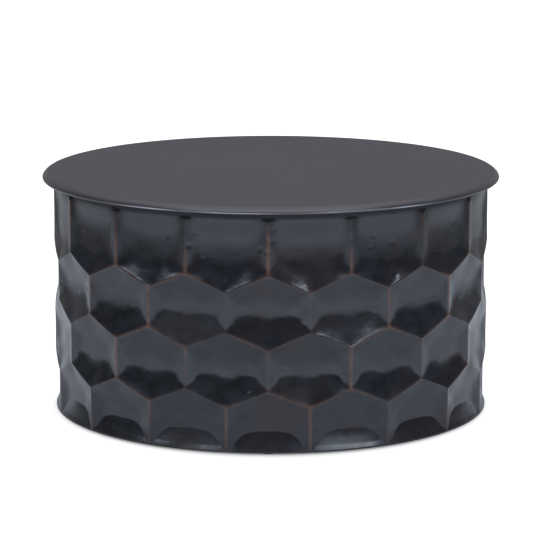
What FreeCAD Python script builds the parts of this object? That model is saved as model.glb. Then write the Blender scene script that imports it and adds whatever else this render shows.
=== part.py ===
import FreeCAD, Part
import math
import os

# Storage coffee table: an embossed sheet-metal drum with a lift-off lid.
# Millimetres, +Z up. The origin is on the floor, under the centre of the drum.
# Turns are in degrees about Z, counted from the front (-Y) towards +X.

# Overall size
table_height = 400.0
lid_radius = 381.0

# Embossed wall: rows of six-sided cells between raised ridges
cells_around = 17
ridge_radius = 362.4
dish_depth = 10.5
wall_thickness = 1.2
zigzag_heights = [89.2, 183.0, 274.1]
zigzag_rise = 14.0
floor_share = 0.62
floor_margin = 32.0

# Plain rim at the top of the wall, where the cells swell out and the ridges are pinched in
rim_radius = 358.4
rim_top = 385.4
rim_band = 5.4
swell_height = 45.0
pinch_height = 6.5
pinch_share = 0.82

# Plain lip at the foot of the wall, where the cells flare out
lip_radius = 364.0
lip_bottom = 2.0
lip_band = 3.0
flare_height = 35.0
ridge_flare_height = 5.0

# Flat rings welded inside the wall, and the floor of the storage space
ring_thickness = 3.0
rim_ring_outer = 356.0
rim_ring_inner = 322.0
base_ring_outer = 361.0
base_ring_inner = 318.0
floor_panel_radius = 350.0
floor_panel_thickness = 9.0

# Feet under the base ring
foot_count = 6
foot_radius = 15.0
foot_thickness = 4.0
foot_circle = 339.5

# Lid: a sheet-metal pan rolled round a board, with a locating hoop below
lid_edge_radius = 6.3
lid_sheet = 1.2
lid_return_inner = 352.0
core_radius = 373.6
core_gap = 0.2
hoop_outer = 318.0
hoop_thickness = 2.0
hoop_height = 20.0

# Angle tabs that hold the hoop to the board
tab_count = 6
tab_width = 18.0
tab_length = 27.0
tab_drop = 16.0
tab_thickness = 2.0
tab_gap = 0.2
tab_hole_circle = 300.0

# Bumpers between the lid and the rim ring
bumper_count = 6
bumper_radius = 7.0
bumper_circle = 338.0
seat_gap = 0.3

# Pan-head wood screws
screw_count = 6
screw_radius = 1.9
screw_length = 10.0
screw_head_radius = 3.8
screw_head_height = 2.4
screw_hole_gap = 0.15
floor_screw_circle = 331.0

# Heights and turns that follow from the sizes above
up = FreeCAD.Vector(0, 0, 1)
full_turn = 360.0
cell_turn = full_turn / cells_around
half_cell = cell_turn / 2
cell_rows = len(zigzag_heights) + 1
base_ring_bottom = foot_thickness
floor_panel_bottom = base_ring_bottom + ring_thickness
lid_bottom = table_height - 2 * lid_edge_radius
core_bottom = lid_bottom + lid_sheet + core_gap
core_top = table_height - lid_sheet - core_gap
tab_bottom = core_bottom - tab_thickness


def point_at(turn, radius, height):
    """The point at a turn, a distance from the axis and a height."""
    angle = math.radians(turn)
    return FreeCAD.Vector(radius * math.sin(angle), -radius * math.cos(angle), height)


def facet(*corners):
    """A flat face with these corners."""
    return Part.Face(Part.makePolygon(list(corners) + [corners[0]]))


def strip(first_line, second_line):
    """Triangles between two lines of points that have as many points."""
    faces = []
    for here, there in zip(zip(first_line, second_line), zip(first_line[1:], second_line[1:])):
        faces.append(facet(here[0], there[0], there[1]))
        faces.append(facet(here[0], there[1], here[1]))
    return faces


def band(first_line, second_line):
    """Four-sided flat faces between two lines of points that have as many points."""
    faces = []
    for here, there in zip(zip(first_line, second_line), zip(first_line[1:], second_line[1:])):
        faces.append(facet(here[0], there[0], there[1], here[1]))
    return faces


def row_offset(row):
    """Cells of alternate rows are half a cell apart, and the second row has a ridge in front."""
    return half_cell * ((row + 1) % 2)


def circle_line(middle, share, radius, height):
    """Points of a plain circle across one cell, at its ridges, its middle and a share of the way between."""
    shares = [-1, -share, 0, share, 1]
    return [point_at(middle + step * half_cell, radius, height) for step in shares]


def cell_faces(row, middle, inset):
    """One skin of one cell, moved in by inset: a flat floor and its sloping sides up to the ridges."""
    ridge = ridge_radius - inset
    floor = ridge_radius - dish_depth - inset
    at_foot = row == 0
    at_rim = row == cell_rows - 1

    # Heights of the cell's lower and upper boundaries, at its ridges and at its middle
    if at_foot:
        low_ridge = lip_bottom + lip_band + ridge_flare_height
        low_floor = lip_bottom + lip_band + flare_height
        low_middle = low_floor
    else:
        low_ridge = zigzag_heights[row - 1] + zigzag_rise
        low_point = zigzag_heights[row - 1] - zigzag_rise
        low_middle = low_point + floor_margin
        low_floor = low_middle + (low_ridge - low_point) * floor_share
    if at_rim:
        high_ridge = rim_top - rim_band - pinch_height
        high_floor = rim_top - rim_band - swell_height
        high_middle = high_floor
    else:
        high_ridge = zigzag_heights[row] - zigzag_rise
        high_point = zigzag_heights[row] + zigzag_rise
        high_middle = high_point - floor_margin
        high_floor = high_middle + (high_ridge - high_point) * floor_share

    left = middle - half_cell
    right = middle + half_cell
    floor_corner = floor / math.cos(math.radians(floor_share * half_cell))
    ridge_low = [point_at(left, ridge, low_ridge), point_at(right, ridge, low_ridge)]
    ridge_high = [point_at(left, ridge, high_ridge), point_at(right, ridge, high_ridge)]
    floor_turns = [middle - floor_share * half_cell, middle, middle + floor_share * half_cell]
    floor_radii = [floor_corner, floor, floor_corner]
    floor_low = []
    floor_high = []
    for turn, radius, low, high in zip(
        floor_turns,
        floor_radii,
        [low_floor, low_middle, low_floor],
        [high_floor, high_middle, high_floor],
    ):
        floor_low.append(point_at(turn, radius, low))
        floor_high.append(point_at(turn, radius, high))

    # The floor and the two upright sides
    faces = [facet(*floor_low, *reversed(floor_high))]
    faces.append(facet(ridge_low[0], ridge_high[0], floor_high[0], floor_low[0]))
    faces.append(facet(ridge_low[1], ridge_high[1], floor_high[2], floor_low[2]))

    # The lower boundary: a flare to the lip, or two sloping sides down to a ridge
    if at_foot:
        lip_line = circle_line(middle, floor_share, lip_radius - inset, lip_bottom + lip_band)
        foot_line = circle_line(middle, floor_share, lip_radius - inset, lip_bottom)
        faces += strip([ridge_low[0], *floor_low, ridge_low[1]], lip_line)
        faces += band(lip_line, foot_line)
    else:
        low_tip = point_at(middle, ridge, low_point)
        faces += strip([ridge_low[0], low_tip, ridge_low[1]], floor_low)

    # The upper boundary: the pinch to the rim, or two sloping sides up to a ridge
    if at_rim:
        rim_line = circle_line(middle, pinch_share, rim_radius - inset, rim_top - rim_band)
        top_line = circle_line(middle, pinch_share, rim_radius - inset, rim_top)
        faces += strip([ridge_high[0], *floor_high, ridge_high[1]], rim_line)
        faces += band(rim_line, top_line)
    else:
        high_tip = point_at(middle, ridge, high_point)
        faces += strip([ridge_high[0], high_tip, ridge_high[1]], floor_high)
    return faces


def drum_wall():
    """The embossed sheet, closed along its rim and its lip."""
    faces = []
    for row in range(cell_rows):
        for column in range(cells_around):
            middle = half_cell + row_offset(row) + column * cell_turn
            faces += cell_faces(row, middle, 0.0)
            faces += cell_faces(row, middle, wall_thickness)
    for column in range(cells_around):
        foot_middle = half_cell + row_offset(0) + column * cell_turn
        rim_middle = half_cell + row_offset(cell_rows - 1) + column * cell_turn
        faces += band(
            circle_line(foot_middle, floor_share, lip_radius, lip_bottom),
            circle_line(foot_middle, floor_share, lip_radius - wall_thickness, lip_bottom),
        )
        faces += band(
            circle_line(rim_middle, pinch_share, rim_radius, rim_top),
            circle_line(rim_middle, pinch_share, rim_radius - wall_thickness, rim_top),
        )
    wall = Part.Solid(Part.Shell(faces))
    if wall.Volume < 0:
        wall.reverse()
    return wall


def cylinder(radius, height, base):
    """An upright cylinder on a base point."""
    return Part.makeCylinder(radius, height, base, up)


def on_axis(height):
    """A point on the axis of the drum."""
    return FreeCAD.Vector(0, 0, height)


def flat_ring(inner, outer, bottom, thickness):
    """A flat ring about the axis of the drum."""
    disc = cylinder(outer, thickness, on_axis(bottom))
    return disc.cut(cylinder(inner, thickness, on_axis(bottom)))


def around(count, first_turn):
    """Evenly spaced turns, from a first one."""
    return [first_turn + index * full_turn / count for index in range(count)]


def screw_holes(circle, turns, bottom, depth):
    """Holes for screws that stand on a circle."""
    hole_radius = screw_radius + screw_hole_gap
    holes = [cylinder(hole_radius, depth, point_at(turn, circle, bottom)) for turn in turns]
    return Part.makeCompound(holes)


def screws(circle, turns, seat):
    """Pan-head screws, with their heads under a seat height and their shanks upwards."""
    pieces = []
    for turn in turns:
        head_base = point_at(turn, circle, seat - screw_head_height)
        head = cylinder(screw_head_radius, screw_head_height, head_base)
        rounding = screw_head_height / 2
        circles = [edge for edge in head.Edges if edge.Closed]
        lower_rim = [edge for edge in circles if edge.CenterOfMass.z < head_base.z + rounding / 2]
        head = head.makeFillet(rounding, lower_rim)
        shank = cylinder(screw_radius, screw_length, point_at(turn, circle, seat))
        pieces.append(head.fuse(shank).removeSplitter())
    return Part.makeCompound(pieces)


def discs(count, first_turn, circle, radius, bottom, thickness):
    """Round pads on a circle, with a rounded edge below."""
    rounding = thickness / 4
    pieces = []
    for turn in around(count, first_turn):
        pad = cylinder(radius, thickness, point_at(turn, circle, bottom))
        circles = [edge for edge in pad.Edges if edge.Closed]
        lower_rim = [edge for edge in circles if edge.CenterOfMass.z < bottom + rounding]
        pieces.append(pad.makeFillet(rounding, lower_rim))
    return pieces


def lid_pan():
    """The lid's skin: a flat top, a rolled edge and a flange turned in below."""
    edge_centre = lid_radius - lid_edge_radius
    edge_height = table_height - lid_edge_radius
    inner_edge = lid_edge_radius - lid_sheet

    def spot(radius, height):
        return FreeCAD.Vector(radius, 0, height)

    corners = [
        spot(0, table_height - lid_sheet),
        spot(0, table_height),
        spot(edge_centre, table_height),
        spot(edge_centre, lid_bottom),
        spot(lid_return_inner, lid_bottom),
        spot(lid_return_inner, lid_bottom + lid_sheet),
        spot(edge_centre, lid_bottom + lid_sheet),
        spot(edge_centre, table_height - lid_sheet),
    ]
    outer_bend = Part.Arc(corners[2], spot(edge_centre + lid_edge_radius, edge_height), corners[3])
    inner_bend = Part.Arc(corners[6], spot(edge_centre + inner_edge, edge_height), corners[7])
    edges = [
        Part.makeLine(corners[0], corners[1]),
        Part.makeLine(corners[1], corners[2]),
        outer_bend.toShape(),
        Part.makeLine(corners[3], corners[4]),
        Part.makeLine(corners[4], corners[5]),
        Part.makeLine(corners[5], corners[6]),
        inner_bend.toShape(),
        Part.makeLine(corners[7], corners[0]),
    ]
    return Part.Face(Part.Wire(edges)).revolve(on_axis(0), up, full_turn)


def angle_tab(turn):
    """One angle tab: a leg down the inside of the hoop and a leg with a screw hole under the board."""
    outside = hoop_outer - hoop_thickness - tab_gap
    half_width = tab_width / 2
    flat_corner = FreeCAD.Vector(outside - tab_length, -half_width, tab_bottom)
    flat_leg = Part.makeBox(tab_length, tab_width, tab_thickness, flat_corner)
    down_corner = FreeCAD.Vector(outside - tab_thickness, -half_width, tab_bottom - tab_drop)
    down_leg = Part.makeBox(tab_thickness, tab_width, tab_drop, down_corner)
    tab = flat_leg.fuse(down_leg).removeSplitter()
    hole_base = FreeCAD.Vector(tab_hole_circle, 0, tab_bottom)
    tab = tab.cut(cylinder(screw_radius + screw_hole_gap, tab_thickness, hole_base))
    quarter_turn = full_turn / 4
    tab.rotate(on_axis(0), up, turn - quarter_turn)
    return tab


# Turns of the repeated pieces
foot_turns_start = 0.0
floor_screw_turns = around(screw_count, full_turn / screw_count / 2)
tab_turns = around(tab_count, 0.0)
bumper_turns_start = full_turn / bumper_count / 2

# Drum
screw_hole_depth = screw_length + screw_hole_gap
floor_holes = screw_holes(floor_screw_circle, floor_screw_turns, base_ring_bottom, screw_hole_depth)
rim_ring_bottom = rim_top - ring_thickness
base_ring = flat_ring(base_ring_inner, base_ring_outer, base_ring_bottom, ring_thickness)
floor_panel = cylinder(floor_panel_radius, floor_panel_thickness, on_axis(floor_panel_bottom))
nodes = {
    "drum_wall": drum_wall(),
    "rim_ring": flat_ring(rim_ring_inner, rim_ring_outer, rim_ring_bottom, ring_thickness),
    "base_ring": base_ring.cut(floor_holes),
    "floor_panel": floor_panel.cut(floor_holes),
    "floor_screws": screws(floor_screw_circle, floor_screw_turns, base_ring_bottom),
}
feet = discs(foot_count, foot_turns_start, foot_circle, foot_radius, 0.0, foot_thickness)
for number, foot in enumerate(feet, 1):
    nodes["foot_pad_%d" % number] = foot

# Lid
core_holes = screw_holes(tab_hole_circle, tab_turns, tab_bottom, screw_hole_depth)
core = cylinder(core_radius, core_top - core_bottom, on_axis(core_bottom))
nodes["lid_top"] = lid_pan()
nodes["lid_core"] = core.cut(core_holes)
nodes["locating_hoop"] = flat_ring(
    hoop_outer - hoop_thickness, hoop_outer, core_bottom - hoop_height, hoop_height
)
nodes["lid_screws"] = screws(tab_hole_circle, tab_turns, tab_bottom)
for number, turn in enumerate(tab_turns, 1):
    nodes["hoop_tab_%d" % number] = angle_tab(turn)
bumper_bottom = rim_top + seat_gap
bumper_height = core_bottom - bumper_bottom
bumpers = discs(
    bumper_count, bumper_turns_start, bumper_circle, bumper_radius, bumper_bottom, bumper_height
)
for number, bumper in enumerate(bumpers, 1):
    nodes["rim_bumper_%d" % number] = bumper

os.makedirs("parts", exist_ok=True)
for name, shape in nodes.items():
    shape.exportStep("parts/%s.step" % name)
    state = "valid" if shape.isValid() else "not valid"
    print(name, state, "solids", len(shape.Solids), "volume", round(shape.Volume))
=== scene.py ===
"""A round storage coffee table: an embossed metal drum with a lift-off lid, dressed around its frame."""
import math

import bmesh
import bpy
from bpy.props import FloatProperty, FloatVectorProperty, IntProperty, PointerProperty
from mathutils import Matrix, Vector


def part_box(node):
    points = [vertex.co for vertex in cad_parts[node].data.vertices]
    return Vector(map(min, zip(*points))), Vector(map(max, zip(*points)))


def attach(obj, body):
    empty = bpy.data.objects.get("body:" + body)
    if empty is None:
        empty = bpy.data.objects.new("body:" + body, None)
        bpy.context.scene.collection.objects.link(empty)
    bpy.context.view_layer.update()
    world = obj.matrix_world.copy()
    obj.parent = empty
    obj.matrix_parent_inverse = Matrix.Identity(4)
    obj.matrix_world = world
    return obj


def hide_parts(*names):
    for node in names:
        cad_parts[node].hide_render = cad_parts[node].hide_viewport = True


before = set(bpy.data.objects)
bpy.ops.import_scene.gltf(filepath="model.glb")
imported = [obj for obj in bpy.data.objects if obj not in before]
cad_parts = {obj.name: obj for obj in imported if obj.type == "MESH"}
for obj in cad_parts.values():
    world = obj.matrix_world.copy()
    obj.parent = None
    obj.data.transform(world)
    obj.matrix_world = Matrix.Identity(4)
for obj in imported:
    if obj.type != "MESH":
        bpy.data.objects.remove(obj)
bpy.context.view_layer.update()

bl_info = {
    "name": "Embossed drum table",
    "version": (1, 0, 0),
    "blender": (4, 5, 0),
    "location": "View3D > Sidebar > Drum table",
    "description": "Models a round storage table with an embossed metal wall and a lift-off lid",
    "category": "Add Mesh",
}

TINY = 1e-5
SIX_TURNS = range(0, 360, 60)
ROUND_STEPS = 192

# Inner and outer radius of each ring, and the radius of the weld beads on two of them
RINGS = {"rim_ring": (0.322, 0.3575), "base_ring": (0.318, 0.3583), "locating_hoop": (0.316, 0.318)}
WELD_BEAD = 0.0012

# A dish as drawn: its depth, the width and fall of each step, the depth of its floor and the floor's hollow
DRAWN_DEPTH = 0.0105
DISH_STEPS = ((0.003, 0.0012), (0.012, 0.0034), (0.019, 0.005))
DISH_FLOOR = 0.0094
DISH_HOLLOW = 0.0015

# Sheet beyond the rim and the lip, which is trimmed off, and how far its ridges sink in smoothing
SPARE_SHEET = 0.04
RIDGE_SINK = 0.00025

# What lies between two depths of a dish is widened sideways by a factor
WIDENED = ((0.004, 0.005, 1.04), (0.009, 0.01, 1.28))

# Bends of the foot, from the lowest: shares of the dish's depth and of the flare's height
FOOT_BENDS = ((0.21, 0.14), (0.362, 0.27), (1, 1))


def size(name, description, default):
    """A length that a user can change."""
    return FloatProperty(name=name, description=description, default=default, unit="LENGTH", precision=4)


def colour(name, description, default):
    """A colour that a user can change."""
    return FloatVectorProperty(
        name=name, description=description, default=default, size=3, min=0, max=1, subtype="COLOR"
    )


def tilt(name, description, degrees):
    """An angle that a user can change."""
    return FloatProperty(name=name, description=description, default=math.radians(degrees), subtype="ANGLE")


class WallSettings(bpy.types.PropertyGroup):
    """Sizes of the embossed wall"""

    cells_around: IntProperty(name="Cells around", description="Cells in each row", default=17, min=8)
    ridge_radius: size("Ridge radius", "Distance of the ridges from the axis", 0.3624)
    ridge_heights: FloatVectorProperty(
        name="Ridge heights",
        description="Mean heights of the three zigzag ridges",
        default=(0.0892, 0.183, 0.2741),
        size=3,
        unit="LENGTH",
    )
    ridge_rise: size("Ridge rise", "Rise and fall of the zigzag ridges", 0.014)
    sheet: size("Sheet", "Thickness of the wall's sheet", 0.0012)
    rim_radius: size("Rim radius", "Outside of the plain rim", 0.3592)
    rim_top: size("Rim top", "Height of the rim's upper edge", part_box("drum_wall")[1].z)
    rim_band: size("Rim band", "Height of the plain rim", 0.0054)
    pinch: size("Pinch", "Height over which the ridges are pinched in to the rim", 0.0078)
    lip_radius: size("Lip radius", "Outside of the plain lip at the foot", 0.362)
    lip_bottom: size("Lip bottom", "Height of the lip's lower edge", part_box("drum_wall")[0].z + 0.001)
    lip_band: size("Lip band", "Height of the plain lip", 0.0024)
    flare: size("Flare", "Height over which the cells flare out to the lip", 0.0333)
    dish_depth: size("Dish depth", "Depth of the cells below the ridges", 0.0105)
    dent_depth: size("Dent depth", "Height of the hand-beaten unevenness", 0.0005)


class LidSettings(bpy.types.PropertyGroup):
    """Sizes of the lid and what is fixed under it"""

    radius: size("Radius", "Outside of the lid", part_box("lid_top")[1].x)
    top: size("Top", "Height of the lid's upper face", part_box("lid_top")[1].z)
    fall_radius: size("Fall radius", "Radius with which the top falls away to the edge", 0.015)
    fall_turn: tilt("Fall turn", "Slope at which the fall ends", 60)
    nose_radius: size("Nose radius", "Radius of the rolled edge above its widest place", 0.003)
    tuck_radius: size("Tuck radius", "Radius of the rolled edge below its widest place", 0.0036)
    sheet: size("Sheet", "Thickness of the lid's sheet", 0.0012)
    flange_inner: size("Flange", "Inner edge of the flange turned in below", 0.352)
    tab_sheet: size("Tab sheet", "Thickness of the angle tabs", 0.002)
    screw_circle: size("Lid screw circle", "Distance of the lid's screws from the axis", 0.3)
    floor_screw_circle: size("Floor screw circle", "Distance of the floor's screws from the axis", 0.331)
    screw_width: size("Screw width", "Width of a screw's head", 0.0076)
    screw_head: size("Screw head", "Height of a screw's head", 0.0024)


class FinishSettings(bpy.types.PropertyGroup):
    """Colours of the finishes"""

    lacquer: colour("Lacquer", "Black lacquer of the wall", (0.0105, 0.0122, 0.0165))
    haze: colour("Haze", "Paler clouds in the lacquer", (0.022, 0.0258, 0.034))
    brown: colour("Brown", "Browner places in the lacquer", (0.024, 0.0185, 0.021))
    # Painted shade: a near-black colour in the pinched notches under the lid, where the lid's shadow falls
    painted_shade: colour("Painted shade", "Dull black in the pinched places under the lid", (0.002, 0.002, 0.0022))
    copper: colour("Copper", "Metal where the ridges are rubbed", (0.168, 0.083, 0.054))
    lid_paint: colour("Lid paint", "Satin paint of the lid", (0.0442, 0.0425, 0.0488))
    # Bare metal of the lid's edge: partly wear, partly a painted highlight
    bare_metal_highlight: colour("Bare metal", "Metal where the lid's edge is rubbed", (0.5, 0.52, 0.56))
    inner_paint: colour("Inner paint", "Paint inside the drum", (0.022, 0.022, 0.024))
    steel_paint: colour("Steel paint", "Paint of the rings, hoop and tabs", (0.03, 0.03, 0.032))
    board: colour("Board", "Stain of the boards", (0.05, 0.045, 0.042))
    zinc: colour("Zinc", "Plating of the screws", (0.52, 0.51, 0.48))
    rubber: colour("Rubber", "Rubber of the feet", (0.025, 0.025, 0.025))
    felt: colour("Felt", "Felt of the bumpers", (0.055, 0.053, 0.052))


class StageSettings(bpy.types.PropertyGroup):
    """Place of the camera and strength of the lights"""

    lens: FloatProperty(name="Lens", description="Focal length in millimetres", default=199.55)
    camera_place: FloatVectorProperty(
        name="Camera",
        description="Place of the camera",
        default=(0.0537, -4.8787, 1.188),
        size=3,
        unit="LENGTH",
    )
    camera_fall: tilt("Fall", "Downward look of the camera", 11.0755)
    camera_turn: tilt("Turn", "Turn of the camera about the vertical", 0.7142)
    floor_reach: size("Floor reach", "Half the width of the pale floor", 9.0)
    pool_place: size("Pool", "How far in front of the axis the lit floor has its middle", 0.75)
    right_glow: FloatProperty(name="Right glow", description="Brightness of the right softbox", default=6.8)
    left_glow: FloatProperty(name="Left glow", description="Brightness of the left softboxes", default=4.4)


class TableSettings(bpy.types.PropertyGroup):
    """All that a user would change"""

    wall: PointerProperty(type=WallSettings, name="Wall", description="The embossed wall")
    lid: PointerProperty(type=LidSettings, name="Lid", description="The lid")
    finish: PointerProperty(type=FinishSettings, name="Finishes", description="Colours of the finishes")
    stage: PointerProperty(type=StageSettings, name="Stage", description="Camera, floor and lights")


# Handling the mesh in edit mode


def begin():
    """Leaves edit mode and deselects everything."""
    if bpy.context.mode != "OBJECT":
        bpy.ops.object.mode_set(mode="OBJECT")
    bpy.ops.object.select_all(action="DESELECT")


def pick(*pieces):
    """Selects pieces in object mode, the first as the active one."""
    begin()
    for piece in pieces:
        piece.select_set(True)
    bpy.context.view_layer.objects.active = pieces[0]


def started(name):
    """The primitive just added, with its place in its mesh, open in edit mode."""
    piece = bpy.context.object
    piece.name = name
    piece.data.name = name
    bpy.ops.object.transform_apply(location=True, rotation=True, scale=True)
    bpy.ops.object.mode_set(mode="EDIT")
    return piece


def middle(item):
    """The middle of a vertex, an edge or a face."""
    if isinstance(item, bmesh.types.BMVert):
        return item.co
    if isinstance(item, bmesh.types.BMEdge):
        return (item.verts[0].co + item.verts[1].co) / 2
    return item.calc_center_median()


def both_ends(edge, test):
    """Whether the places of both ends of an edge pass a test."""
    return all(test(vert.co) for vert in edge.verts)


def folded(edge):
    """Whether two faces meet at an edge at more than a slight angle."""
    return len(edge.link_faces) == 2 and edge.calc_face_angle() > math.radians(8)


def choose(kind, test):
    """Selects the vertices, edges or faces that pass a test, and nothing else."""
    bpy.ops.mesh.select_mode(type=kind)
    bpy.ops.mesh.select_all(action="DESELECT")
    mesh = bmesh.from_edit_mesh(bpy.context.object.data)
    items = {"VERT": mesh.verts, "EDGE": mesh.edges, "FACE": mesh.faces}[kind]
    count = 0
    for item in items:
        if test(item):
            item.select_set(True)
            count += 1
    mesh.select_flush_mode()
    bmesh.update_edit_mesh(bpy.context.object.data)
    if not count:
        raise RuntimeError("nothing to select on " + bpy.context.object.name)


def choose_all():
    """Selects the whole mesh."""
    bpy.ops.mesh.select_mode(type="FACE")
    bpy.ops.mesh.select_all(action="SELECT")


def shift(x, y, z):
    """Moves what is selected."""
    bpy.ops.transform.translate(value=(x, y, z))


def stretch(factors, about):
    """Scales what is selected about a point."""
    bpy.ops.transform.resize(value=factors, center_override=about)


def extrude_edges(factors, about):
    """Extrudes the selected edges and scales the new ones about a point."""
    bpy.ops.mesh.extrude_edges_indiv()
    stretch(factors, about)


def cut(place, normal):
    """Cuts off what lies on the side of a plane that its normal points to."""
    choose_all()
    bpy.ops.mesh.bisect(plane_co=place, plane_no=normal, clear_outer=True, threshold=TINY)


def close_up(gap):
    """Merges doubles and turns all faces outwards."""
    choose_all()
    bpy.ops.mesh.remove_doubles(threshold=gap)
    bpy.ops.mesh.normals_make_consistent(inside=False)


def modify(piece, kind, **values):
    """Adds a modifier and applies it."""
    pick(piece)
    modifier = piece.modifiers.new(kind.lower(), kind)
    for key, value in values.items():
        setattr(modifier, key, value)
    bpy.ops.object.modifier_apply(modifier=modifier.name)


def smooth(piece, angle):
    """Shades a piece smooth, with sharp edges above an angle in degrees."""
    pick(piece)
    bpy.ops.object.shade_smooth_by_angle(angle=math.radians(angle))


def finished(piece, body, material, node):
    """Gives a piece its finish, if it has none yet, and its place in the frame."""
    begin()
    if not piece.data.materials:
        piece.data.materials.append(material)
    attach(piece, body)
    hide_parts(node)


# Finishes


class Recipe:
    """A finish being mixed from nodes."""

    def __init__(self, owner, shader="Principled BSDF", place="Object"):
        self.owner = owner
        owner.use_nodes = True
        self.tree = owner.node_tree
        self.shader = self.tree.nodes[shader]
        self.place = self.add("ShaderNodeTexCoord").outputs[place]

    def add(self, kind, **values):
        """A node with these settings."""
        node = self.tree.nodes.new(kind)
        for key, value in values.items():
            setattr(node, key, value)
        return node

    def feed(self, socket, value):
        """Sets a socket, or links it to another."""
        if isinstance(value, bpy.types.NodeSocket):
            self.tree.links.new(value, socket)
        else:
            socket.default_value = value

    def sum(self, operation, *values):
        """One or two values put through a sum such as ADD or MAXIMUM."""
        node = self.add("ShaderNodeMath", operation=operation)
        for socket, value in zip(node.inputs, values):
            self.feed(socket, value)
        return node.outputs[0]

    def product(self, first, *others):
        """The product of several values."""
        for value in others:
            first = self.sum("MULTIPLY", first, value)
        return first

    def ramp(self, value, low, high, to_low=0.0, to_high=1.0):
        """A smooth step from one value to another."""
        node = self.add("ShaderNodeMapRange", interpolation_type="SMOOTHSTEP")
        for socket, setting in zip(node.inputs, (value, low, high, to_low, to_high)):
            self.feed(socket, setting)
        return node.outputs[0]

    def noise(self, grain, detail=2.0, rough=0.5, stretch=(1, 1, 1)):
        """Noise with a grain of this size in metres."""
        mapping = self.add("ShaderNodeMapping")
        self.feed(mapping.inputs["Vector"], self.place)
        self.feed(mapping.inputs["Scale"], stretch)
        node = self.add("ShaderNodeTexNoise")
        self.feed(node.inputs["Vector"], mapping.outputs[0])
        self.feed(node.inputs["Scale"], 1 / grain)
        self.feed(node.inputs["Detail"], detail)
        self.feed(node.inputs["Roughness"], rough)
        return node.outputs["Fac"]

    def mix(self, share, first, second):
        """A colour between two others."""
        node = self.add("ShaderNodeMix", data_type="RGBA")
        self.feed(node.inputs[0], share)
        self.feed(node.inputs[6], first if isinstance(first, bpy.types.NodeSocket) else (*first, 1))
        self.feed(node.inputs[7], second if isinstance(second, bpy.types.NodeSocket) else (*second, 1))
        return node.outputs[2]

    def bump(self, height, distance, strength=1.0, below=None):
        """Unevenness too fine for the mesh."""
        node = self.add("ShaderNodeBump")
        self.feed(node.inputs["Height"], height)
        self.feed(node.inputs["Distance"], distance)
        self.feed(node.inputs["Strength"], strength)
        if below:
            self.feed(node.inputs["Normal"], below)
        return node.outputs[0]

    def coat(self, **sockets):
        """Feeds the shader's sockets, named with underscores for spaces."""
        for key, value in sockets.items():
            self.feed(self.shader.inputs[key.replace("_", " ")], value)
        return self.owner

    def split(self):
        """The three parts of the place."""
        node = self.add("ShaderNodeSeparateXYZ")
        self.feed(node.inputs[0], self.place)
        return node.outputs

    def length(self, first, second):
        """The length of the sum of two distances at right angles."""
        squares = [self.product(value, value) for value in (first, second)]
        return self.sum("SQRT", self.sum("ADD", *squares))


def antiqued_lacquer(wall, finish):
    """Black lacquer over copper, worn through along the ridges and the lip."""
    recipe = Recipe(bpy.data.materials.new("antiqued_lacquer"))
    across, along, height = recipe.split()
    rim_height = wall.rim_top - wall.rim_band

    # The ridges are worn, in patches, and so is the lip
    depth = recipe.sum("SUBTRACT", wall.ridge_radius, recipe.length(across, along))
    ridge = recipe.ramp(depth, 0.0015, 0.0002)
    around = recipe.sum("ARCTAN2", across, recipe.product(along, -1.0))
    between = recipe.sum("COSINE", recipe.product(around, float(wall.cells_around)))
    above_foot = recipe.sum("MAXIMUM", recipe.ramp(height, 0.03, 0.05), recipe.ramp(between, -0.985, -0.998))
    below_rim = recipe.ramp(height, 0.374, 0.366)
    lip_line = recipe.sum("ABSOLUTE", recipe.sum("SUBTRACT", height, wall.lip_bottom + wall.lip_band))
    lip = recipe.ramp(lip_line, 0.0012, 0.0002, 0.0, 0.6)
    edge = recipe.sum("MAXIMUM", recipe.product(ridge, above_foot, below_rim), lip)
    patchy = recipe.ramp(recipe.noise(0.09, 3.0), 0.4, 0.68, 0.1, 0.62)
    flecks = recipe.ramp(recipe.noise(0.009, 3.0), 0.3, 0.65, 0.6, 1.0)
    upright = recipe.ramp(recipe.sum("ABSOLUTE", between), 0.96, 0.995, 0.6, 1.15)
    wear = recipe.product(edge, patchy, flecks, upright)

    # The black has paler clouds and browner places, and painted shade, near black, where the ridges are
    # pinched in under the lid
    cloudy = recipe.noise(0.035, 4.0, 0.6, (1, 1, 1.5))
    black = recipe.mix(recipe.ramp(cloudy, 0.3, 0.72), finish.lacquer, finish.haze)
    black = recipe.mix(recipe.ramp(recipe.noise(0.11, 3.0), 0.47, 0.66, 0.0, 0.6), black, finish.brown)
    pinched = recipe.ramp(height, rim_height - wall.pinch, rim_height - 0.0055)
    notch = recipe.product(pinched, recipe.ramp(depth, 0.0031, 0.0026))
    black = recipe.mix(notch, black, finish.painted_shade)

    # It is glossy, but duller where it is worn, near the foot, in the painted shade and on the rim
    dull = recipe.ramp(height, rim_height - 0.0045, rim_height - 0.0025, 0.0, 0.7)
    rough = recipe.ramp(recipe.noise(0.024, 3.0, 0.6), 0.25, 0.75, 0.08, 0.19)
    rough = recipe.sum("ADD", rough, recipe.product(wear, 0.15))
    rough = recipe.sum("ADD", rough, recipe.ramp(height, 0.032, 0.018, 0.0, 0.1))
    rough = recipe.sum("ADD", rough, recipe.product(recipe.sum("MAXIMUM", notch, dull), 0.6))

    # Small dimples, marks of the hammer and a fine grain
    spots = recipe.add("ShaderNodeTexVoronoi")
    recipe.feed(spots.inputs["Vector"], recipe.place)
    recipe.feed(spots.inputs["Scale"], 1 / 0.03)
    dimples = recipe.bump(recipe.ramp(spots.outputs["Distance"], 0.0, 0.26), 0.0005, 0.55)
    beaten = recipe.bump(recipe.noise(0.011, 1.5, 0.5), 0.0004, 0.22, dimples)
    grain = recipe.bump(recipe.noise(0.0022, 2.0), 0.00008, 0.3, beaten)
    return recipe.coat(
        Base_Color=recipe.mix(wear, black, finish.copper), Roughness=rough, Normal=grain, IOR=1.5
    )


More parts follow.
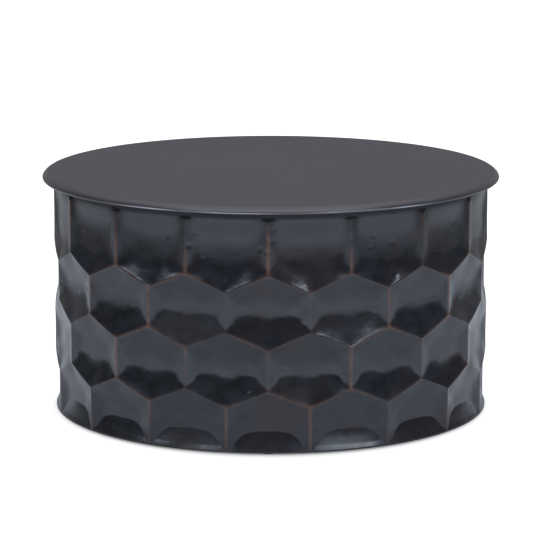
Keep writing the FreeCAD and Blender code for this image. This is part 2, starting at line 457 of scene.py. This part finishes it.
def grained(name, tint, spread, grain, roughness, relief, stretch=(1, 1, 1), **constants):
    """A finish of one colour, clouded by a spread, with a grain that also stands out in relief."""
    recipe = Recipe(bpy.data.materials.new(name))
    fine = recipe.noise(grain, 2.0, 0.5, stretch)
    share = recipe.product(recipe.sum("ADD", recipe.noise(0.09, 4.0, 0.6), fine), 0.5)
    lighter = tuple(min(1.0, (1 + spread) * part) for part in tint)
    darker = tuple((1 - spread) * part for part in tint)
    return recipe.coat(
        Base_Color=recipe.mix(recipe.ramp(share, 0.3, 0.7), darker, lighter),
        Roughness=recipe.ramp(recipe.noise(0.05, 3.0), 0.25, 0.75, *roughness),
        Normal=recipe.bump(fine, relief, 0.3),
        **constants,
    )


def nose_height(lid):
    """Height of the lid's widest place."""
    return lid.top - lid.fall_radius + (lid.fall_radius - lid.nose_radius) * math.cos(lid.fall_turn)


def satin_lid(lid, finish):
    """Satin black paint, smoother round the rolled edge, with bare metal at its widest place in front and
    behind: partly wear, partly a painted highlight.
    """
    recipe = Recipe(bpy.data.materials.new("satin_lid_paint"))
    across, along, height = recipe.split()
    edge = recipe.ramp(recipe.length(across, along), lid.radius - 0.012, lid.radius - 0.005)
    off_middle = recipe.sum("ABSOLUTE", recipe.sum("SUBTRACT", height, nose_height(lid) - 0.0006))
    off_front = recipe.sum("ABSOLUTE", across)
    patchy = recipe.ramp(recipe.noise(0.1, 2.0), 0.35, 0.62, 0.25, 0.8)
    # Bare metal at the edge's widest place, kept to the front and back: partly wear, partly a painted
    # highlight where the edge's bright line shows
    rubbed_and_highlight = recipe.product(
        recipe.ramp(off_middle, 0.0014, 0.0005),
        recipe.ramp(off_front, 0.04, 0.14, 0.7, 1.0),
        recipe.ramp(off_front, 0.27, 0.21),
        edge,
        patchy,
    )
    cloudy = recipe.ramp(recipe.noise(0.12, 3.0), 0.3, 0.7)
    lighter = tuple(1.04 * part for part in finish.lid_paint)
    darker = tuple(0.96 * part for part in finish.lid_paint)
    rough = recipe.ramp(recipe.noise(0.1, 2.0), 0.25, 0.75, 0.49, 0.51)
    fine = recipe.noise(0.0012)
    return recipe.coat(
        Base_Color=recipe.mix(rubbed_and_highlight, recipe.mix(cloudy, darker, lighter), finish.bare_metal_highlight),
        Metallic=rubbed_and_highlight,
        Roughness=recipe.sum("SUBTRACT", rough, recipe.product(edge, 0.28)),
        Normal=recipe.bump(fine, 0.00005, 0.3),
    )


# Pieces


def crease_corners(values):
    """Keeps the corners of the cells crisp, from the ridges inwards, one ring for each value."""
    mesh = bmesh.from_edit_mesh(bpy.context.object.data)
    corners = {vert.index for vert in mesh.verts if abs(vert.co.y) < TINY and len(vert.link_edges) == 6}
    for value in values:
        choose(
            "EDGE",
            lambda edge: abs(edge.verts[0].co.y - edge.verts[1].co.y) > TINY
            and min(edge.verts, key=lambda vert: vert.co.y).index in corners,
        )
        bpy.ops.transform.edge_crease(value=value)
        mesh = bmesh.from_edit_mesh(bpy.context.object.data)
        ends = [max(edge.verts, key=lambda vert: vert.co.y).index for edge in mesh.edges if edge.select]
        corners = set(ends)


def embossed_tube(wall, levels, depth):
    """Embosses the wall's sheet while it is flat, with +Y as its depth, and rolls it into a tube."""
    pitch = math.tau * wall.ridge_radius / wall.cells_around
    columns = wall.cells_around + 2
    below = -SPARE_SHEET
    above = wall.rim_top + SPARE_SHEET
    rim_height = wall.rim_top - wall.rim_band
    rim_depth = wall.ridge_radius - wall.rim_radius
    lines = [below, *wall.ridge_heights, above]
    heights = [below]
    for lower, upper in zip(lines, lines[1:-1]):
        heights += [(lower + upper) / 2, upper]
    swells = [
        (rim_height - below_rim, fall)
        for below_rim, fall in ((0.04, 0.0112), (0.021, 0.0078), (0.006, rim_depth + 0.0001))
    ]
    heights += [level for level, _ in swells] + [above]
    steps = len(heights) - 1

    # A flat sheet with four columns to a cell, standing behind the XZ plane
    begin()
    bpy.ops.mesh.primitive_grid_add(
        x_subdivisions=4 * columns, y_subdivisions=steps, size=1, rotation=(math.pi / 2, 0, 0)
    )
    tube = started("embossed_wall")
    choose_all()
    stretch((columns * pitch, 1, 1), (0, 0, 0))
    shift(0, 0, -2)
    for step, height in enumerate(heights):
        old = step / steps - 2.5
        choose("VERT", lambda vert: abs(vert.co.z - old) < TINY)
        shift(0, 0, height - old)

    # Edges that are no ridge are dissolved, which leaves twelve-cornered cells
    def column(vert):
        return round(4 * vert.co.x / pitch) % 4

    def spare(edge):
        first, second = edge.verts
        level = abs(first.co.z - second.co.z) < TINY
        if level:
            return min(abs(first.co.z - line) for line in lines) > TINY
        row = sum(middle(edge).z > line for line in lines) - 1
        return column(first) != 2 * ((row + 1) % 2)

    choose("EDGE", lambda edge: not edge.is_boundary and spare(edge))
    bpy.ops.mesh.dissolve_edges(use_verts=False)

    # The ridges between the rows are drawn up and down into zigzags
    for line, height in enumerate(wall.ridge_heights):
        for half in (0, 1):
            rise = wall.ridge_rise * (1 - 2 * ((line + half) % 2))
            choose("VERT", lambda vert: abs(vert.co.z - height) < TINY and column(vert) == 2 * half)
            shift(0, 0, rise)

    # Each cell is sunk in steps to a dish
    share = wall.dish_depth / DRAWN_DEPTH
    choose_all()
    for width, fall in DISH_STEPS:
        bpy.ops.mesh.inset(thickness=width, depth=-fall * share, use_individual=True)

    # The walls beside the upright ridges are narrower than those above and below
    def cell_middle(vert):
        turn = vert.co.x / pitch
        wave = 4 * abs(turn % 1 - 0.5) - 1
        row = 0
        for line, height in enumerate(wall.ridge_heights):
            row += vert.co.z > height + wave * wall.ridge_rise * (1 - 2 * (line % 2))
        offset = 0.5 * (row % 2)
        return (round(turn - offset) + offset) * pitch

    for shallow, deep, factor in WIDENED:
        for half_step in range(1 - columns, columns):
            centre = half_step * pitch / 2
            choose(
                "VERT",
                lambda vert: shallow < vert.co.y / share < deep and abs(cell_middle(vert) - centre) < TINY,
            )
            stretch((factor, 1, 1), (centre, 0, 0))
    floor_depth = DISH_FLOOR * share
    choose("FACE", lambda face: middle(face).y > floor_depth and middle(face).z < wall.ridge_heights[2])
    bpy.ops.mesh.poke(offset=-DISH_HOLLOW * share)

    # The floors of the top row swell out again towards the rim
    def on_floor(vert, level):
        return vert.co.y > floor_depth and abs(vert.co.z - level) < 0.0005

    for level, _ in swells:
        choose("VERT", lambda vert: on_floor(vert, level))
        bpy.ops.mesh.vert_connect()
    for level, fall in swells[:-1]:
        choose("VERT", lambda vert: on_floor(vert, level))
        stretch((1, 0, 1), (0, fall * share, 0))
    near_rim = rim_height - 0.012
    choose("VERT", lambda vert: vert.co.y > floor_depth and vert.co.z > near_rim)
    stretch((1, 0, 1), (0, swells[-1][1], 0))
    choose("VERT", lambda vert: 0.004 * share < vert.co.y < 0.005 * share and vert.co.z > near_rim)
    stretch((1, 0, 1), (0, rim_depth + 0.0006, 0))
    crease_corners((1.0, 0.45))
    choose_all()
    shift(0, depth - RIDGE_SINK, 0)
    modify(tube, "SUBSURF", levels=levels, render_levels=levels)

    # The floors of the dishes are smoothed to even bowls
    floors = tube.vertex_groups.new(name="floors")
    for vert in tube.data.vertices:
        room = min(vert.co.y - depth - 0.003, rim_height - 0.008 - vert.co.z)
        floors.add([vert.index], max(0.0, min(1.0, room / 0.004)), "REPLACE")
    passes = 3 * 4 ** (levels - 1)
    modify(tube, "SMOOTH", factor=0.5, iterations=passes, use_x=False, use_z=False, vertex_group="floors")
    bpy.ops.object.mode_set(mode="EDIT")

    # The sheet is trimmed to its length
    half_length = wall.cells_around * pitch / 2

    def open_edge(edge):
        return edge.is_boundary and abs(middle(edge).x) < half_length - TINY

    cut((half_length, 0, 0), (1, 0, 0))
    cut((-half_length, 0, 0), (-1, 0, 0))

    # The foot flares out to the lip in bends, the lowest the steepest
    lip_depth = wall.ridge_radius - wall.lip_radius
    lip_height = wall.lip_bottom + wall.lip_band
    bends = [(lip_depth, lip_height)]
    for fall, rise in FOOT_BENDS:
        bends.append((lip_depth + fall * (wall.dish_depth - lip_depth), lip_height + rise * wall.flare))
    for part in range(len(bends) - 1, 0, -1):
        (less, low), (deep, high) = bends[part - 1 : part + 1]
        slope = (deep - less) / (high - low)
        cut((0, deep + depth, high), (0, 1, -slope))
        choose("EDGE", lambda edge: open_edge(edge) and middle(edge).z < 0.06)
        reach = 0.05 if part > 1 else high - low
        end = (0, deep + depth - slope * reach, high - reach)
        extrude_edges((1, 0, 0), end)
    bpy.ops.mesh.extrude_edges_indiv()
    shift(0, 0, -wall.lip_band)
    choose("EDGE", lambda edge: both_ends(edge, lambda place: abs(place.z - lip_height) < TINY))
    bpy.ops.mesh.mark_sharp()
    choose(
        "EDGE",
        lambda edge: 0.006 < middle(edge).z < 0.05 and middle(edge).y > depth + 0.002 and folded(edge),
    )
    bpy.ops.mesh.mark_sharp()

    # The rim pinches the ridges in to a plain circle
    rim_line = (0, rim_depth + depth, rim_height)
    cut(rim_line, (0, 0, 1))
    cut((0, depth, rim_height - wall.pinch), (0, -wall.pinch, 1.4 * rim_depth))
    choose("EDGE", lambda edge: open_edge(edge) and middle(edge).z > 0.34)
    extrude_edges((1, 0, 0), rim_line)
    bpy.ops.mesh.extrude_edges_indiv()
    shift(0, 0, wall.rim_band)
    choose("EDGE", lambda edge: rim_height - 0.009 < middle(edge).z < rim_height + TINY and folded(edge))
    bpy.ops.mesh.mark_sharp()

    # The sheet is rolled round and its ends are joined
    modify(tube, "SIMPLE_DEFORM", deform_method="BEND", deform_axis="Z", angle=math.tau)
    bpy.ops.object.mode_set(mode="EDIT")
    choose_all()
    shift(0, -wall.ridge_radius, 0)
    close_up(0.0001)
    bpy.ops.object.mode_set(mode="OBJECT")
    return tube


def outward(piece):
    """Whether a tube's faces point away from the axis."""
    total = 0.0
    for face in piece.data.polygons:
        total += face.normal.x * face.center.x + face.normal.y * face.center.y
    return total > 0


class TABLE_OT_drum_wall(bpy.types.Operator):
    """Model the embossed wall of the drum"""

    bl_idname = "table.drum_wall"
    bl_label = "Drum wall"

    def execute(self, context):
        settings = context.scene.drum_table
        wall = settings.wall
        outside = embossed_tube(wall, 2, 0.0)
        inside = embossed_tube(wall, 1, wall.sheet)
        for tube, wanted in ((outside, True), (inside, False)):
            if outward(tube) != wanted:
                tube.data.flip_normals()

        # Hand-beaten unevenness, fading out at the rim and the lip
        faded = outside.vertex_groups.new(name="beaten")
        for vert in outside.data.vertices:
            room = min(vert.co.z - 0.006, wall.rim_top - 0.014 - vert.co.z)
            faded.add([vert.index], max(0.0, min(1.0, room / 0.02)), "REPLACE")
        for grain, share in ((0.024, 0.5), (0.06, 1.0)):
            texture = bpy.data.textures.new("beaten_%d" % (grain * 1000), "CLOUDS")
            texture.noise_scale = grain
            texture.noise_depth = 1
            modify(
                outside,
                "DISPLACE",
                texture=texture,
                texture_coords="LOCAL",
                vertex_group="beaten",
                strength=wall.dent_depth * share,
                mid_level=0.5,
            )
        outside.data.materials.append(antiqued_lacquer(wall, settings.finish))
        inside.data.materials.append(
            grained("inner_black", settings.finish.inner_paint, 0.1, 0.003, (0.54, 0.7), 0.00006)
        )

        # The two skins become one sheet
        pick(outside, inside)
        bpy.ops.object.join()
        bpy.ops.object.mode_set(mode="EDIT")
        for low, high in ((0.0, 0.02), (0.37, 0.4)):
            choose("EDGE", lambda edge: edge.is_boundary and low < middle(edge).z < high)
            bpy.ops.mesh.bridge_edge_loops()
        bpy.ops.object.mode_set(mode="OBJECT")
        smooth(outside, 24)
        finished(outside, "drum", None, "drum_wall")
        return {"FINISHED"}


class TABLE_OT_lid_top(bpy.types.Operator):
    """Model the lid's skin with its rolled edge"""

    bl_idname = "table.lid_top"
    bl_label = "Lid top"

    def execute(self, context):
        settings = context.scene.drum_table
        lid = settings.lid
        steepest = lid.fall_turn
        nose_middle = lid.radius - lid.nose_radius
        flat = nose_middle - (lid.fall_radius - lid.nose_radius) * math.sin(steepest)
        fall_middle = lid.top - lid.fall_radius
        widest = nose_height(lid)
        begin()
        bpy.ops.mesh.primitive_circle_add(
            vertices=ROUND_STEPS, radius=flat, fill_type="NGON", location=(0, 0, lid.top)
        )
        piece = started("lid_skin")

        # Rings of faces keep the flat top evenly shaded
        choose_all()
        for width in (0.004, 0.02, 0.06, 0.12):
            bpy.ops.mesh.inset(thickness=width)
        bpy.ops.mesh.poke()

        # The edge is rolled under, then turned in to a flange
        choose("EDGE", lambda edge: edge.is_boundary)
        radius = flat
        height = lid.top
        stops = []
        for middle_radius, middle_height, bend, first, last, steps in (
            (flat, fall_middle, lid.fall_radius, 0, steepest, 8),
            (nose_middle, widest, lid.nose_radius, steepest, math.pi / 2, 4),
            (lid.radius - lid.tuck_radius, widest, lid.tuck_radius, math.pi / 2, math.pi, 6),
        ):
            for step in range(1, steps + 1):
                angle = first + (last - first) * step / steps
                out = middle_radius + bend * math.sin(angle)
                stops.append((out, middle_height + bend * math.cos(angle)))
        stops.append((lid.flange_inner, widest - lid.tuck_radius))
        for next_radius, next_height in stops:
            share = next_radius / radius
            extrude_edges((share, share, 1), (0, 0, 0))
            shift(0, 0, next_height - height)
            radius = next_radius
            height = next_height
        modify(piece, "SOLIDIFY", thickness=lid.sheet, offset=-1, use_even_offset=True)
        smooth(piece, 35)
        finished(piece, "lid", satin_lid(lid, settings.finish), "lid_top")
        return {"FINISHED"}


def turned_ring(name, node, soft):
    """A ring turned from its section, with softened corners."""
    low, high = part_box(node)
    inner, outer = RINGS[node]
    begin()
    bpy.ops.mesh.primitive_plane_add(size=1, rotation=(math.pi / 2, 0, 0))
    piece = started(name)
    choose_all()
    stretch((outer - inner, 1, high.z - low.z), (0, 0, 0))
    shift((inner + outer) / 2, 0, (low.z + high.z) / 2)
    choose("VERT", lambda vert: True)
    bpy.ops.mesh.bevel(offset=soft, segments=3, affect="VERTICES")
    choose_all()
    bpy.ops.mesh.delete(type="ONLY_FACE")
    choose("EDGE", lambda edge: True)
    bpy.ops.mesh.spin(steps=ROUND_STEPS, angle=math.tau, center=(0, 0, 0), axis=(0, 0, 1))
    close_up(TINY)
    smooth(piece, 35)
    return piece


def round_block(name, radius, low, high, corners, circle=0.0):
    """A round block on or in front of the axis, open in edit mode."""
    begin()
    bpy.ops.mesh.primitive_cylinder_add(
        vertices=corners, radius=radius, depth=high - low, location=(0, -circle, (low + high) / 2)
    )
    return started(name)


def round_rim(height, offset, steps):
    """Rounds off the rim of a round block at a height."""
    choose("EDGE", lambda edge: both_ends(edge, lambda place: abs(place.z - height) < TINY))
    bpy.ops.mesh.bevel(offset=offset, segments=steps)


def copied(piece, name, turns):
    """Copies of a piece, turned about the axis of the drum."""
    copies = []
    for number, turn in enumerate(turns, 1):
        pick(piece)
        bpy.ops.object.duplicate()
        copy = bpy.context.object
        copy.name = "%s_%d" % (name, number)
        copy.data.name = copy.name
        copy.rotation_euler[2] = math.radians(turn)
        bpy.ops.object.transform_apply(location=True, rotation=True, scale=True)
        copies.append(copy)
    bpy.data.objects.remove(piece)
    return copies


def joined(pieces, name):
    """Several pieces made into one."""
    pick(*pieces)
    bpy.ops.object.join()
    pieces[0].name = name
    pieces[0].data.name = name
    return pieces[0]


class TABLE_OT_rings(bpy.types.Operator):
    """Model the stiffening rings of the drum and the locating hoop of the lid"""

    bl_idname = "table.rings"
    bl_label = "Rings"

    def execute(self, context):
        settings = context.scene.drum_table
        paint = grained("black_steel_paint", settings.finish.steel_paint, 0.12, 0.002, (0.4, 0.52), 0.00006)
        cells = settings.wall.cells_around
        for node, name, body, welded in (
            ("rim_ring", "rim_stiffener", "drum", "low"),
            ("base_ring", "base_stiffener", "drum", "high"),
            ("locating_hoop", "lid_hoop", "lid", None),
        ):
            piece = turned_ring(name, node, 0.0006)
            if welded:
                low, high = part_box(node)
                spot = (0, -RINGS[node][1], low.z if welded == "low" else high.z)
                begin()
                bpy.ops.mesh.primitive_uv_sphere_add(
                    segments=20, ring_count=10, radius=WELD_BEAD, location=spot
                )
                bead = started("weld_bead")
                choose_all()
                stretch((5, 1, 1), spot)
                smooth(bead, 60)
                turns = [360 * (step + 0.5) / cells for step in range(cells)]
                piece = joined([piece] + copied(bead, "weld_bead", turns), name)
            finished(piece, body, paint, node)
        return {"FINISHED"}


class TABLE_OT_boards(bpy.types.Operator):
    """Model the floor of the drum and the board inside the lid"""

    bl_idname = "table.boards"
    bl_label = "Boards"

    def execute(self, context):
        finish = context.scene.drum_table.finish
        stain = grained("stained_board", finish.board, 0.4, 0.004, (0.6, 0.75), 0.0002, (1, 5, 1))
        for node, name, body, soft in (
            ("floor_panel", "floor_board", "drum", 0.0008),
            ("lid_core", "lid_board", "lid", 0.004),
        ):
            low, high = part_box(node)
            piece = round_block(name, high.x, low.z, high.z, ROUND_STEPS)
            round_rim(low.z, 0.0008, 2)
            round_rim(high.z, soft, 3)
            choose("FACE", lambda face: abs(face.normal.z) > 0.99)
            bpy.ops.mesh.inset(thickness=0.03, use_individual=True)
            smooth(piece, 35)
            finished(piece, body, stain, node)
        return {"FINISHED"}


class TABLE_OT_hoop_tabs(bpy.types.Operator):
    """Model the angle tabs that hold the hoop to the lid's board"""

    bl_idname = "table.hoop_tabs"
    bl_label = "Hoop tabs"

    def execute(self, context):
        low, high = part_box("hoop_tab_1")
        sheet = context.scene.drum_table.lid.tab_sheet
        outside = -low.y
        inside = -high.y
        half = high.x
        begin()
        bpy.ops.mesh.primitive_cube_add(size=1)
        tab = started("tab")
        choose_all()
        stretch((2 * half, outside - inside, sheet), (0, 0, 0))
        shift(0, -(outside + inside) / 2, high.z - sheet / 2)

        # The outer end is bent down to the other leg
        choose_all()
        bpy.ops.mesh.bisect(plane_co=(0, sheet - outside, 0), plane_no=(0, 1, 0))
        choose("FACE", lambda face: face.normal.z < -0.9 and middle(face).y < sheet - outside)
        bpy.ops.mesh.extrude_region_move(TRANSFORM_OT_translate={"value": (0, 0, low.z - high.z + sheet)})

        # Rounded bend, rounded free corners, and softened edges all over
        choose(
            "EDGE",
            lambda edge: both_ends(edge, lambda place: place.y < TINY - outside and place.z > high.z - TINY),
        )
        bpy.ops.mesh.bevel(offset=0.9 * sheet, segments=4)

        def at_free_end(edge):
            inner_end = both_ends(edge, lambda place: place.y > -inside - TINY)
            return inner_end or both_ends(edge, lambda place: place.z < low.z + TINY)

        choose("EDGE", lambda edge: abs(abs(middle(edge).x) - half) < TINY and at_free_end(edge))
        bpy.ops.mesh.bevel(offset=0.004, segments=4)
        modify(tab, "BEVEL", width=0.0003, segments=2, limit_method="ANGLE", angle_limit=math.radians(40))
        smooth(tab, 35)
        paint = bpy.data.materials["black_steel_paint"]
        for number, copy in enumerate(copied(tab, "tab", SIX_TURNS), 1):
            finished(copy, "lid", paint, "hoop_tab_%d" % number)
        return {"FINISHED"}


class TABLE_OT_screws(bpy.types.Operator):
    """Model the pan-head screws of the lid and of the floor"""

    bl_idname = "table.screws"
    bl_label = "Screws"

    def execute(self, context):
        settings = context.scene.drum_table
        lid = settings.lid
        shank_radius = 0.0019
        recess_length, recess_width, recess_depth = 0.0042, 0.0009, 0.0024
        zinc = grained("zinc_plate", settings.finish.zinc, 0.12, 0.0006, (0.26, 0.4), 0.00002, Metallic=1.0)
        for node, name, body, circle, first in (
            ("lid_screws", "lid_screw_set", "lid", lid.screw_circle, 0),
            ("floor_screws", "floor_screw_set", "drum", lid.floor_screw_circle, 30),
        ):
            low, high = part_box(node)
            seat = low.z + lid.screw_head
            screw = round_block("screw", lid.screw_width / 2, low.z, seat, 32, circle)
            round_rim(low.z, lid.screw_head / 2, 4)
            choose("FACE", lambda face: face.normal.z > 0.99)
            bpy.ops.mesh.inset(thickness=lid.screw_width / 2 - shank_radius)
            length = high.z - seat
            for share, narrow in ((0.72, 1.0), (0.28, 0.25)):
                bpy.ops.mesh.extrude_region_move(TRANSFORM_OT_translate={"value": (0, 0, share * length)})
                stretch((narrow, narrow, 1), (0, -circle, 0))
            begin()

            # A cross is cut into the head
            for size_x, size_y in ((recess_length, recess_width), (recess_width, recess_length)):
                bpy.ops.mesh.primitive_cube_add(size=1, location=(0, -circle, low.z))
                blade = started("blade")
                choose_all()
                stretch((size_x, size_y, recess_depth), (0, -circle, low.z))
                begin()
                modify(screw, "BOOLEAN", object=blade, operation="DIFFERENCE", solver="EXACT")
                bpy.data.objects.remove(blade)
            smooth(screw, 30)
            screws = joined(copied(screw, "screw", [turn + first for turn in SIX_TURNS]), name)
            finished(screws, body, zinc, node)
        return {"FINISHED"}


class TABLE_OT_pads(bpy.types.Operator):
    """Model the feet under the drum and the felt bumpers under the lid"""

    bl_idname = "table.pads"
    bl_label = "Feet and bumpers"

    def execute(self, context):
        finish = context.scene.drum_table.finish
        rubber = grained("foot_rubber", finish.rubber, 0.2, 0.0012, (0.65, 0.8), 0.0001)
        felt = grained("pressed_felt", finish.felt, 0.35, 0.0007, (0.88, 0.98), 0.0003, Sheen_Weight=0.25)
        for node, name, body, slot, material, first, soft in (
            ("foot_pad", "foot", "drum", "foot_rubber", rubber, 0, 0.001),
            ("rim_bumper", "bumper", "lid", "bumper_felt", felt, 30, 0.0008),
        ):
            low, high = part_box(node + "_1")
            radius = (high.x - low.x) / 2
            circle = math.hypot((high.x + low.x) / 2, (high.y + low.y) / 2)
            pad = round_block(name, radius, low.z, high.z, 48, circle)
            round_rim(low.z, soft, 3)
            round_rim(high.z, soft / 3, 2)

            # A ring is sunk into the lower face
            choose("FACE", lambda face: face.normal.z < -0.99)
            bpy.ops.mesh.inset(thickness=0.28 * radius)
            bpy.ops.mesh.inset(thickness=0.08 * radius, depth=-0.0005)
            bpy.ops.mesh.inset(thickness=0.08 * radius, depth=0.0005)
            smooth(pad, 35)
            for number, copy in enumerate(copied(pad, name, [turn + first for turn in SIX_TURNS]), 1):
                finished(copy, body, material, "%s_%d" % (node, number))
        return {"FINISHED"}


# Stage


def floor_finish(stage):
    """White to the camera; mirrored, a pool of light in front of the table."""
    recipe = Recipe(bpy.data.materials.new("pale_floor"))
    path = recipe.add("ShaderNodeLightPath").outputs
    across, along = recipe.split()[:2]
    from_axis = recipe.length(across, along)

    # The pool is dimmed beside the table, and most close to its foot
    from_pool = recipe.length(recipe.sum("DIVIDE", across, 1.02), recipe.sum("ADD", along, stage.pool_place))
    near = recipe.ramp(along, 0.3, -0.3, 0.38, 0.6)
    beside = recipe.ramp(from_axis, 0.45, 1.3, near, 1.0)
    at_foot = recipe.ramp(from_axis, 0.38, 0.41, 0.35, 1.0)
    pool = recipe.product(recipe.ramp(from_pool, 2.6, 0.5, 0.0, 1.18), beside, at_foot)
    aside = recipe.length(
        recipe.sum("SUBTRACT", recipe.sum("ABSOLUTE", across), 1.4), recipe.sum("SUBTRACT", along, 1.2)
    )
    pool = recipe.sum("MAXIMUM", pool, recipe.ramp(aside, 1.3, 0.3, 0.0, 0.16))

    # The camera sees white, with a narrow shadow round the foot
    shaded = recipe.length(recipe.product(across, 1.04), along)
    shadow_inside, shadow_outside = 0.358, 0.392
    white = recipe.ramp(shaded, shadow_inside, shadow_outside, 0.24, 0.66)
    clear = recipe.sum("MAXIMUM", path["Is Camera Ray"], path["Is Transmission Ray"])
    glow = recipe.sum("ADD", recipe.product(clear, white), recipe.product(path["Is Glossy Ray"], pool))
    pale = recipe.mix(recipe.noise(0.5, 2.0), (0.79, 0.79, 0.79), (0.81, 0.81, 0.81))
    return recipe.coat(
        Base_Color=recipe.mix(path["Is Camera Ray"], (0.25, 0.25, 0.25), pale),
        Roughness=0.9,
        Specular_IOR_Level=0.0,
        Emission_Color=recipe.mix(path["Is Glossy Ray"], (1, 1, 1), (0.86, 0.965, 1.17)),
        Emission_Strength=glow,
    )


def add_softbox(name, turn, rise, width, tall, brightness):
    """A wide soft box in front of the table, facing it."""
    reach = 5.0
    table_middle = 0.27
    around = math.radians(turn)
    up = math.radians(rise)
    spot = (
        reach * math.sin(around) * math.cos(up),
        -reach * math.cos(around) * math.cos(up),
        table_middle + reach * math.sin(up),
    )
    bpy.ops.object.light_add(type="AREA", location=spot, rotation=(math.pi / 2 - up, 0, around))
    box = bpy.context.object
    box.name = name
    box.data.shape = "RECTANGLE"
    box.data.size = width
    box.data.size_y = tall
    box.data.energy = brightness * math.pi * width * tall
    box.data.color = (0.87, 0.99, 1.17)


def light_room(scene):
    """A room that is white to the camera, even for soft light, and dim where it is mirrored."""
    scene.world = bpy.data.worlds.new("studio")
    recipe = Recipe(scene.world, "Background", "Generated")
    path = recipe.add("ShaderNodeLightPath").outputs
    across, along, height = recipe.split()
    around = recipe.sum("ARCTAN2", across, recipe.product(along, -1.0))

    # Mirrored, it is lit overhead, high up behind the table, and in an upright band on each side
    mirrored = recipe.ramp(along, 0.3, 0.7, 0.07, 0.255)
    overhead = recipe.product(
        recipe.ramp(along, 1.2, -0.6, 0.0, 2.6),
        recipe.ramp(along, -0.76, -0.58),
        recipe.ramp(height, 0.1, 0.4),
        recipe.ramp(recipe.sum("ABSOLUTE", across), 0.75, 0.45),
    )
    behind = recipe.product(recipe.ramp(height, 0.35, 1.0, 0.0, 1.4), recipe.ramp(along, -0.2, 0.3))
    mirrored = recipe.sum("MAXIMUM", mirrored, recipe.sum("MAXIMUM", overhead, behind))
    for turn, narrow, wide, brightness in ((40, 14, 24, 0.2), (-45, 6, 16, 0.26)):
        off = recipe.sum("ABSOLUTE", recipe.sum("SUBTRACT", around, math.radians(turn)))
        band = recipe.ramp(off, math.radians(wide), math.radians(narrow), 0.0, brightness)
        mirrored = recipe.sum("ADD", mirrored, recipe.product(band, recipe.ramp(height, 0.5, 0.36)))
    soft = recipe.product(recipe.sum("SUBTRACT", 1.0, path["Is Glossy Ray"]), 0.8)
    strength = recipe.sum("ADD", soft, recipe.product(path["Is Glossy Ray"], mirrored))
    tint = recipe.mix(path["Is Glossy Ray"], (1, 1, 1), (0.98, 0.96, 1.06))
    recipe.coat(Color=tint, Strength=recipe.sum("MAXIMUM", strength, path["Is Camera Ray"]))


class TABLE_OT_stage(bpy.types.Operator):
    """Set the floor, the lights and the camera"""

    bl_idname = "table.stage"
    bl_label = "Stage"

    def execute(self, context):
        stage = context.scene.drum_table.stage
        begin()
        bpy.ops.mesh.primitive_plane_add(size=2 * stage.floor_reach)
        floor = started("pale_floor")
        begin()
        floor.data.materials.append(floor_finish(stage))
        add_softbox("right_softbox", 42, 21.0, 2.65, 0.8, stage.right_glow)
        add_softbox("left_softbox", -30.5, 22.0, 1.1, 0.6, stage.left_glow)
        add_softbox("far_left_softbox", -62, 17.0, 1.2, 0.5, stage.left_glow)
        light_room(context.scene)

        # The camera, at the photograph's angle
        turned = (math.pi / 2 - stage.camera_fall, 0, stage.camera_turn)
        bpy.ops.object.camera_add(location=stage.camera_place, rotation=turned)
        camera = bpy.context.object
        camera.data.lens = stage.lens
        camera.data.sensor_width = 36
        camera.data.sensor_fit = "HORIZONTAL"
        camera.data.clip_end = 100
        context.scene.camera = camera
        context.scene.view_settings.view_transform = "Standard"
        return {"FINISHED"}


class TABLE_PT_pieces(bpy.types.Panel):
    """Lists the pieces of the table"""

    bl_idname = "TABLE_PT_pieces"
    bl_label = "Drum table"
    bl_space_type = "VIEW_3D"
    bl_region_type = "UI"
    bl_category = "Drum table"

    def draw(self, context):
        for operator in OPERATORS:
            self.layout.operator(operator.bl_idname)


SETTINGS = (WallSettings, LidSettings, FinishSettings, StageSettings, TableSettings)
OPERATORS = (
    TABLE_OT_drum_wall,
    TABLE_OT_lid_top,
    TABLE_OT_rings,
    TABLE_OT_boards,
    TABLE_OT_hoop_tabs,
    TABLE_OT_screws,
    TABLE_OT_pads,
    TABLE_OT_stage,
)
CLASSES = SETTINGS + OPERATORS + (TABLE_PT_pieces,)


def register():
    """Makes the settings, operators and panel known."""
    for entry in CLASSES:
        bpy.utils.register_class(entry)
    bpy.types.Scene.drum_table = PointerProperty(type=TableSettings)


def unregister():
    """Takes them away again."""
    del bpy.types.Scene.drum_table
    for entry in reversed(CLASSES):
        bpy.utils.unregister_class(entry)


def main():
    """Makes every piece in order."""
    register()
    bpy.ops.table.drum_wall()
    bpy.ops.table.lid_top()
    bpy.ops.table.rings()
    bpy.ops.table.boards()
    bpy.ops.table.hoop_tabs()
    bpy.ops.table.screws()
    bpy.ops.table.pads()
    bpy.ops.table.stage()
    begin()


if __name__ == "__main__":
    main()
